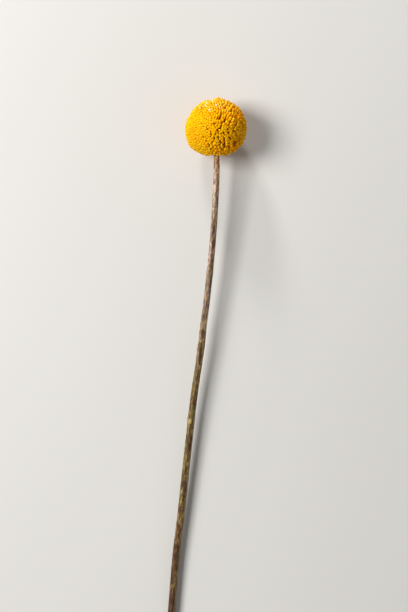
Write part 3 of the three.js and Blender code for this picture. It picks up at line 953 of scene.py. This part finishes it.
# Marks on the upper side: picture row at the middle, offset from the centreline
# in pixels (- is left), half length and half width in pixels, kind, strength.
MARKS = [
    (163, 0.4, 6, 2.2, "pink", 0.55),
    (178, 0.6, 12, 0.9, "pink", 0.5),
    (175, -1.2, 16, 1.1, "wool", 0.55),
    (194, -1.5, 5, 0.9, "wool", 0.8),
    (207, 0.2, 0.8, 3.0, "dark", 0.45),
    (218, 0.6, 5, 0.8, "dark", 0.5),
    (222.5, -0.9, 3, 0.6, "dark", 0.35),
    (231.5, -0.25, 4.8, 1.15, "dark", 1.0),
    (226.4, 0.6, 2.8, 0.7, "dark", 0.8),
    (233, -1.6, 6, 0.7, "wool", 0.7),
    (251, 0.3, 13, 0.9, "pink", 1.0),
    (243, 0.3, 3.5, 0.8, "dark", 0.4),
    (247, 0.6, 5, 0.6, "dark", 0.5),
    (258, 0.9, 6, 0.5, "dark", 0.4),
    (262, -1.8, 16, 0.8, "wool", 0.75),
    (272, -2.4, 1.4, 0.6, "wool", 0.9),
    (279, 1.3, 5, 0.5, "dark", 0.4),
    (288, 0.5, 7, 0.7, "wool", 0.4),
    (297, -0.4, 6, 0.8, "pink", 0.8),
    (303, 0.6, 3, 0.5, "dark", 0.5),
    (306, -1.2, 7, 0.9, "wool", 0.8),
    (316.5, -1.2, 4, 0.6, "dark", 0.45),
    (316, 1.5, 4, 0.6, "dark", 0.55),
    (316.5, -1.4, 6, 0.9, "pink", 0.7),
    (335, 0.2, 5, 0.9, "pink", 0.7),
    (344.5, -0.2, 2.4, 0.55, "dark", 0.9),
    (350.5, 0.1, 3.4, 0.75, "dark", 0.95),
    (357, 0.5, 4.8, 1.25, "dark", 1.0),
    (362.5, 0.8, 2.6, 0.8, "dark", 0.9),
    (348.5, 0.9, 2.0, 0.6, "dark", 0.7),
    (331.5, 0.5, 3.2, 0.6, "dark", 0.7),
    (336.5, 1.0, 2.0, 0.6, "dark", 0.6),
    (352, 1.9, 11, 0.7, "olive", 0.8),
    (352, -0.5, 4, 0.5, "pink", 0.7),
    (367, 0.6, 3, 0.8, "wool", 0.45),
    (376, 0.8, 5, 0.6, "dark", 0.55),
    (372, -1.6, 9, 0.7, "wool", 0.35),
    (386, 0.9, 7, 0.8, "olive", 0.8),
    (392, -2.3, 5, 0.7, "pink", 0.7),
    (397, -1.4, 5, 0.6, "pink", 0.7),
    (402, 0.4, 3.5, 0.8, "dark", 0.7),
    (404, 1.8, 8, 0.7, "pink", 0.4),
    (411, -1.2, 8, 1.2, "olive", 1.0),
    (411, 1.3, 6, 0.5, "dark", 0.5),
    (421.5, -1.6, 2.6, 1.7, "wool", 0.85),
    (424.5, -0.6, 1.4, 1.2, "pink", 0.9),
    (431, 0.0, 6, 0.6, "dark", 0.5),
    (436, -2.2, 7, 0.7, "pink", 0.7),
    (437.5, 1.7, 1.8, 1.0, "dark", 0.95),
    (446, 1.9, 5.0, 0.7, "dark", 0.7),
    (447, 1.8, 6, 0.5, "dark", 0.4),
    (450, -2.6, 3, 0.6, "dark", 0.6),
    (461, -2.2, 5, 0.8, "wool", 0.75),
    (459, 0.3, 9, 1.1, "olive", 0.9),
    (472, -2.0, 4, 0.6, "wool", 0.6),
    (469, -0.4, 5, 0.5, "dark", 0.5),
    (483.4, -0.9, 3.6, 0.8, "dark", 0.9),
    (490.5, 0.5, 5.0, 0.7, "dark", 0.6),
    (470.5, 0.0, 4.5, 0.6, "dark", 0.5),
    (482, 1.3, 9, 0.9, "olive", 0.9),
    (491.3, -1.6, 2.1, 1.4, "wool", 0.9),
    (494.5, -1.2, 0.8, 1.7, "dark", 0.5),
    (509.5, -2.2, 3.2, 1.2, "dark", 0.9),
    (508, -0.5, 8, 0.7, "pink", 0.9),
    (511, 1.2, 12, 1.0, "olive", 0.8),
    (521, -1.3, 3, 0.8, "wool", 0.7),
    (526.3, -0.9, 2.2, 1.1, "dark", 0.9),
    (533, 0.2, 5, 0.7, "pink", 0.8),
    (546.7, -0.1, 2.3, 2.0, "dark", 0.9),
    (541, -2.4, 5, 0.6, "wool", 0.4),
    (552, 1.6, 8, 0.8, "olive", 0.7),
    (556, -0.9, 3.2, 1.1, "dark", 0.9),
    (565, -0.8, 4, 0.9, "dark", 0.6),
    (572, -0.4, 7, 1.0, "pink", 0.8),
    (585, 0.2, 1.8, 0.8, "wool", 0.7),
    (580, -1.8, 4, 0.7, "dark", 0.5),
    (594, 1.0, 9, 0.8, "pink", 0.5),
    (598, -0.6, 5, 0.6, "dark", 0.6),
    (607, 0.8, 5, 0.7, "dark", 0.45),
]

S, A = np.meshgrid(s_mm, np.arange(STEM_SIDES) * 2 * np.pi / STEM_SIDES, indexing="ij")
R0 = path_r[:, None] * np.ones_like(A)
along = S / s_mm[-1]
# a seamless place round the stem: x and y are the section, z is along it
ring3 = np.stack([np.cos(A) * R0, np.sin(A) * R0, S], -1)


# patches lean and waver a little instead of following the section's axes
sway = np.stack([fbm(ring3 * np.array([1.1, 1.1, 0.45]), 501 + i, 2) - 0.5 for i in range(3)], -1)
place3 = ring3 + sway * np.array([0.50, 0.50, 1.4])


def field(scale_round, scale_along, seed, octaves=3):
    c, s = math.cos(seed), math.sin(seed)
    p = place3 @ np.array([[c, -s, 0], [s, c, 0], [0, 0, 1]])
    p = p + p[..., :1] * np.array([0, 0, 0.6])
    return fbm(p * np.array([1 / scale_round, 1 / scale_round, 1 / scale_along]), seed, octaves)


rows = np.arange(160, 613, 4.0)
row_at = np.interp(S, [picture_row(r) for r in rows], rows)
low_share = np.clip((row_at - 160) / 452, 0, 1)          # 0 under the head, 1 at the picture's edge and beyond
down = step(row_at, 300, 370)                            # 0 on the upper stem, 1 below
lit_side = np.sin(A)                                     # 1 towards -X
right_side = -lit_side
near_side = step(np.cos(A), -0.4, 0.1)
# painted light and shade over random patches and marks: on the upper stem the pale felt gathers on the side towards the
# key lamp, and olive on the right, away from it
wool = np.clip(step(field(0.7, 3.2, 11), 0.50, 0.60) * (0.45 - 0.22 * down)
               + step(field(0.34, 1.3, 13), 0.58, 0.65) * (0.60 - 0.10 * down)
               + 0.25 * (1 - down) * step(lit_side, 0.0, 0.8), 0, 1)
olive = np.clip(0.20 + 0.25 * down + 1.3 * (field(0.9, 7.0, 23) - 0.5) + 1.4 * (step(field(0.45, 1.5, 29, 2), 0.42, 0.60) - 0.5)
                + near_side * (0.50 * (1 - down) * step(right_side, 0.2, 0.7)
                               + 0.35 * down * step(right_side, -0.35, 0.1) * (1 - step(right_side, 0.6, 0.9))
                               + 0.40 * step(row_at, 432, 450) * (1 - step(row_at, 492, 516))), 0, 1)
dark = np.clip(step(field(0.34, 0.9, 37), 0.60, 0.66) * (0.30 + 0.50 * down)
               + step(field(0.22, 2.0, 41), 0.62, 0.69) * (0.35 + 0.35 * down), 0, 1)
pink = np.clip(step(field(0.6, 2.6, 53), 0.48, 0.62) * (0.45 + 0.15 * down) + 0.55 * step(field(0.42, 1.2, 57, 2), 0.54, 0.64)
               + 0.35 * step(row_at, 500, 520) * near_side * step(lit_side, -0.3, 0.2), 0, 1)
layers = {"wool": wool, "olive": olive, "dark": dark, "pink": pink}
for row, off, half_len, half_wide, kind, strength in MARKS:
    s0 = picture_row(row)
    r_here = float(np.interp(s0, s_mm, path_r))
    half_wide = half_wide * ({"dark": 1.40, "pink": 1.15, "olive": 1.0, "wool": 1.1}[kind])
    a0 = math.asin(np.clip(-off * SCALE / r_here, -0.97, 0.97))
    ds = (S - s0) / (half_len * SCALE)
    da = (np.angle(np.exp(1j * (A - a0)))) * r_here / (half_wide * SCALE)
    ragged = 0.70 + 0.75 * field(0.30, 0.8, 61 + int(row), 2)
    hit = (1 - step(np.sqrt(ds * ds + da * da) * ragged, 0.72, 1.32)) * strength
    if kind == "dark":
        layers["wool"] *= 1 - np.clip(hit * 1.1, 0, 1)
    if kind in ("olive", "pink"):
        layers["wool"] *= 1 - 0.6 * np.clip(hit, 0, 1)
    if kind == "wool":
        layers["dark"] *= 1 - 0.9 * np.clip(hit, 0, 1)
    layers[kind] = np.clip(layers[kind] + hit * (1 - 0.3 * layers[kind]), 0, 1)
wool, olive, dark, pink = (layers[k] for k in ("wool", "olive", "dark", "pink"))

# painted shade and light on the stem's upper side: darker from the middle towards the right, away from the key lamp,
# back to full at the right edge; darker across the rows from under the head to about row 388, most in the middle;
# lighter on the right in some rows and just under the head
fall = step(low_share, 0.02, 0.22)
shade = 1 - near_side * fall * (0.14 * step(right_side, -0.30, 0.10) + 0.03 * step(right_side, 0.10, 0.50)
                                - 0.18 * step(right_side, 0.50, 0.85))
middle_band = np.exp(-(right_side / 0.5) ** 2)
shade = shade * (1 - near_side * step(row_at, 168, 196) * (1 - step(row_at, 366, 388)) * (0.13 + 0.10 * middle_band))
middle_rows = step(row_at, 288, 310) * (1 - step(row_at, 372, 392))
shade = shade * (1 + near_side * middle_rows * 0.55 * step(right_side, 0.05, 0.5))
shade = shade * (1 + 0.22 * near_side * (1 - step(row_at, 176, 190)) * step(right_side, 0.1, 0.5))
shade = shade * (1 + 0.22 * near_side * step(row_at, 455, 475) * step(right_side, 0.15, 0.45))
shade = shade * (1 + near_side * (1 - step(row_at, 164, 172)) * (0.10 + 0.16 * step(right_side, 0.0, 0.4)))
# light and dark flecks, a little longer along the stem than across
fleck = step(field(0.60, 1.45, 131, 2), 0.42, 0.58)
streak = step(field(0.44, 4.4, 137, 2), 0.43, 0.58)
lower = step(row_at, 400, 470)
shade = shade * (0.67 - 0.13 * lower + (0.63 + 0.22 * lower) * fleck) * (0.74 - 0.04 * lower + (0.51 + 0.08 * lower) * streak)
# painted rim light: a pale line along the right edge, from about row 392 down
rim = near_side * step(right_side, 0.52, 0.80) * step(row_at, 392, 420) * (0.35 + 0.55 * field(0.5, 5.0, 97, 2))
rim = np.clip(rim, 0, 1)

ribs = 0.020 * np.cos(9 * A + 2.2 * np.sin(S / 23.0)) + 0.012 * np.cos(5 * A - S / 17.0)
bulk = ribs * (0.5 + 0.8 * along) \
    + 0.10 * (field(1.6, 7.0, 71, 2) - 0.5) \
    + 0.060 * (field(0.30, 1.8, 73, 3) - 0.5) \
    + 0.050 * wool * field(0.25, 0.6, 79, 2) \
    - 0.060 * dark


def swelling(py, height, half_len):
    s0 = picture_row(py)
    return height * np.exp(-((S - s0) / (half_len * SCALE)) ** 2)


# slight knees where a leaf stood
bulk = bulk + swelling(192, 0.05, 6) + swelling(272, 0.05, 4) + swelling(332, 0.07, 5) \
    + swelling(348, 0.09, 6) + swelling(421, 0.10, 5) + swelling(491, 0.05, 4)
R = R0 + bulk

pos = path[:, None, :] + (R * np.cos(A))[..., None] * up[:, None, :] + (R * np.sin(A))[..., None] * left[:, None, :]

# the swollen tip inside the head
down_axis = -HEAD_AXIS
h_left = unit(np.cross(down_axis, z0))
h_left = h_left * (-1 if h_left[0] > 0 else 1)
h_up = unit(np.cross(h_left, down_axis))
h_up = h_up * (-1 if h_up[2] < 0 else 1)
a_ring = np.arange(STEM_SIDES) * 2 * np.pi / STEM_SIDES
tip_rings = []
for deg in np.concatenate([np.linspace(8, 160, 20), [166]]):
    a = math.radians(deg)
    c = HEAD_CENTRE + HEAD_AXIS * 6.45 * math.cos(a)
    r = max(6.45 * math.sin(a), 1.36)
    ring = c + r * (np.cos(a_ring)[:, None] * h_up + np.sin(a_ring)[:, None] * h_left)
    if r > 2:
        out = unit(ring - HEAD_CENTRE)
        ring = ring - out * (0.35 * fbm(out * 6.0, 5, 2))[:, None]
    tip_rings.append(ring)
p0, p1 = HEAD_CENTRE - HEAD_AXIS * 6.4, path[0]
m0, m1 = -HEAD_AXIS * 6.0, tangent[0] * 6.0
for q in (0.15, 0.32, 0.5, 0.68, 0.85):
    c = (2 * q ** 3 - 3 * q * q + 1) * p0 + (q ** 3 - 2 * q * q + q) * m0 \
        + (3 * q * q - 2 * q ** 3) * p1 + (q ** 3 - q * q) * m1
    u_, l_ = unit(h_up * (1 - q) + up[0] * q), unit(h_left * (1 - q) + left[0] * q)
    r_ = 1.36 * (1 - q) + R[0] * q
    tip_rings.append(c + r_[:, None] * (np.cos(a_ring)[:, None] * u_ + np.sin(a_ring)[:, None] * l_))
tip_rings = np.array(tip_rings)
n_tip = len(tip_rings)

# the cut end: a slanted cut through bark, wood and pith
end_c, end_t = path[-1], tangent[-1]
cut_rings = []
slant = 0.25
for frac, inward, seed in ((0.985, -0.02, 1), (0.93, 0.03, 2), (0.86, 0.12, 3), (0.74, 0.02, 4), (0.62, 0.05, 5), (0.5, 0.16, 6), (0.34, 0.22, 7), (0.16, 0.26, 8)):
    rr = R[-1] * frac
    ring = end_c + (rr * np.cos(a_ring))[:, None] * up[-1] + (rr * np.sin(a_ring))[:, None] * left[-1]
    ring = ring - end_t * (inward + 0.07 * rng.random(STEM_SIDES)[:, None])
    ring[:, 1] += (ring[:, 2] - end_c[2]) * slant
    cut_rings.append(ring)
pos[-1, :, 1] += (pos[-1, :, 2] - end_c[2]) * slant
pos[-2, :, 1] += (pos[-2, :, 2] - end_c[2]) * slant * 0.8
pos[-3, :, 1] += (pos[-3, :, 2] - end_c[2]) * slant * 0.5
pos[-4, :, 1] += (pos[-4, :, 2] - end_c[2]) * slant * 0.2
cut_rings = np.array(cut_rings)
end_y = CAD_BOX[0][1] / MM + 0.004
pos[-6:, :, 1] = np.maximum(pos[-6:, :, 1], end_y)
cut_rings[..., 1] = np.maximum(cut_rings[..., 1], end_y)
all_rings = np.concatenate([tip_rings, pos, cut_rings])
first = HEAD_CENTRE + HEAD_AXIS * 6.3
last = end_c - end_t * 0.2
verts = np.vstack([all_rings.reshape(-1, 3), first, last])
n_rings = len(all_rings)
quads = ring_faces(n_rings, STEM_SIDES)
k = np.arange(STEM_SIDES)
e = (n_rings - 1) * STEM_SIDES
tris = np.concatenate([
    np.stack([np.full(STEM_SIDES, len(verts) - 2), k, (k + 1) % STEM_SIDES], 1),
    np.stack([np.full(STEM_SIDES, len(verts) - 1), e + (k + 1) % STEM_SIDES, e + k], 1),
])
# faces point out
quads = quads[:, ::-1]
tris = tris[:, ::-1]
verts[:, 2] = np.maximum(verts[:, 2], 0.0)

colour = np.zeros((len(verts), 4))
body = np.stack([wool, olive, dark, pink], -1)
# the swollen tip inside the head is dark brown: its own colour, darkened further as painted shade deep inside the head
colour[:n_tip * STEM_SIDES] = (0.0, 0.1, 0.55, 0.8)
colour[n_tip * STEM_SIDES:(n_tip + STEM_STEPS) * STEM_SIDES] = body.reshape(-1, 4)
cut_masks = [(0.2, 0.3, 0.6, 0.2), (0.1, 0.5, 0.4, 0.1), (0.1, 0.2, 0.5, 0.4), (0.75, 0, 0, 0.2),
             (0.9, 0, 0, 0.1), (0.95, 0, 0.1, 0), (0.9, 0, 0.2, 0.2), (0.7, 0, 0.35, 0.3)]
for i, c in enumerate(cut_masks):
    at = (n_tip + STEM_STEPS + i) * STEM_SIDES
    colour[at:at + STEM_SIDES] = c
# its closing point, dark with the same painted shade
colour[-2] = (0, 0.1, 0.55, 0.8)
colour[-1] = (0.6, 0, 0.4, 0.3)

bark = np.zeros((len(verts), 4))
bark[:, 1] = 0.9
body = np.stack([low_share, shade, rim, np.ones_like(shade)], -1)
bark[n_tip * STEM_SIDES:(n_tip + STEM_STEPS) * STEM_SIDES] = body.reshape(-1, 4)
at = (n_tip + STEM_STEPS) * STEM_SIDES
bark[at:, 0] = 0.62
bark[-2, 0] = 0.0

stem = make_mesh("dried_stem", verts, quads, tris, {"stem": colour, "bark": bark}, STEM)
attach(stem, "root")
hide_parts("stem")

# ---------------------------------------------------------------- leaf stubs

STUBS = [
    # number, distance below the head's centre, degrees round, length, width,
    # proud, how pale its lip is, how brown the rest is
    (1, 28.8, 88, 3.4, 1.15, 0.66, 1.0, 0.0),
    (2, 64.9, 93, 1.8, 0.95, 0.28, 0.6, 0.2),
    (3, 90.8, 80, 2.6, 1.35, 0.42, 0.9, 0.3),
    (4, 99.1, 86, 3.6, 1.45, 0.60, 0.55, 0.3),
    (5, 132.6, 78, 3.2, 1.60, 0.38, 0.30, 0.6),
    (6, 165.4, 34, 2.6, 1.20, 0.30, 0.35, 0.8),
    (7, 243.0, -70, 3.4, 1.50, 0.48, 0.30, 0.9),
]


def leaf_stub(number, below, turn, length, width, proud, paleness, brownness):
    local = np.random.default_rng(900 + number)
    rings, sides = 22, 20
    ring_pts, masks = [], []
    for i in range(rings):
        t = i / (rings - 1)
        y = HEAD_CENTRE[1] - below - length * (t - 0.3)
        row = float(np.interp(-y, -path[:, 1], np.arange(STEM_STEPS)))
        j = min(int(row), STEM_STEPS - 2)
        f = row - j
        p = path[j] * (1 - f) + path[j + 1] * f
        u_, l_ = up[j], left[j]
        # broken edge above, a keel that tapers into the stem below
        w = width * (0.86 + 0.14 * math.sin(min(t / 0.22, 1) * math.pi / 2)) * (1 - step(t, 0.2, 1.0) * 0.82)
        h = proud * (0.08 + 0.92 * max(0.0, 1 - t / 0.86) ** 1.15)
        spread = w / 2 / path_r[j]
        pts = []
        for s in range(sides):
            q = 2 * math.pi * s / sides
            k = math.cos(q)
            lift = math.sin(q)
            a = math.radians(turn) + spread * k
            base = float(np.interp((a % (2 * math.pi)), np.r_[a_ring, 2 * math.pi], np.r_[R[j], R[j][0]]))
            if lift > 0:
                out = base + h * lift ** 0.7 * (1 + 0.10 * (local.random() - 0.5))
                # a groove down the middle of the old leaf's keel
                out -= 0.10 * h * math.exp(-(k / 0.16) ** 2) * (t < 0.7)
            else:
                out = base - 0.18 * abs(lift) - 0.05
            pts.append(p + out * (math.cos(a) * u_ + math.sin(a) * l_))
            e_ = max(0.0, 1 - t / 0.55) ** 0.8 * max(lift, 0) ** 0.6
            masks.append((e_ * paleness, max(step(t, 0.35, 0.95), brownness), 0.75 * math.exp(-((t - 0.02) / 0.05) ** 2) * (abs(k) < 0.55) * (lift > 0.2), 1))
        pts = np.array(pts)
        if i < 2:
            pts += tangent[j] * (-(0.28 - 0.14 * i)) * (local.random((sides, 1)) - 0.2)
        ring_pts.append(pts)
    ring_pts = np.array(ring_pts)
    v0 = ring_pts[0].mean(0) + tangent[j] * 0.10
    v1 = ring_pts[-1].mean(0)
    verts = np.vstack([ring_pts.reshape(-1, 3), v0, v1])
    masks += [(0.1, brownness, 0.6, 1), (0, 1, 0, 1)]
    quads = ring_faces(rings, sides)
    k = np.arange(sides)
    e = (rings - 1) * sides
    tris = np.concatenate([
        np.stack([np.full(sides, len(verts) - 2), (k + 1) % sides, k], 1),
        np.stack([np.full(sides, len(verts) - 1), e + k, e + (k + 1) % sides], 1),
    ])
    # point the faces out
    centre = ring_pts.mean((0, 1))
    a, b, c = (verts[quads[:, i]] for i in range(3))
    volume = np.einsum("ij,ij->i", a - centre, np.cross(b - centre, c - centre)).sum()
    if volume < 0:
        quads, tris = quads[:, ::-1], tris[:, ::-1]
    ob = make_mesh(f"leaf_base_{number}", verts, quads, tris, {"stub": np.array(masks, float)}, STUB)
    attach(ob, "root")
    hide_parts(f"leaf_stub_{number}")
    return ob


for spec in STUBS:
    leaf_stub(*spec)

# -------------------------------------------------------------------- the floor

me = bpy.data.meshes.new("floor")
me.from_pydata([(-3, -3, 0), (3, -3, 0), (3, 3, 0), (-3, 3, 0)], [], [(0, 1, 2, 3)])
me.materials.append(floor_material())
floor = bpy.data.objects.new("floor", me)
floor.location = (0, 0, -0.00002)
bpy.context.scene.collection.objects.link(floor)

# --------------------------------------------------------------------- the end

bpy.context.view_layer.update()
print("florets", COUNT, "triangles in the head", COUNT * (2 * len(one_quads) + len(one_tris)))
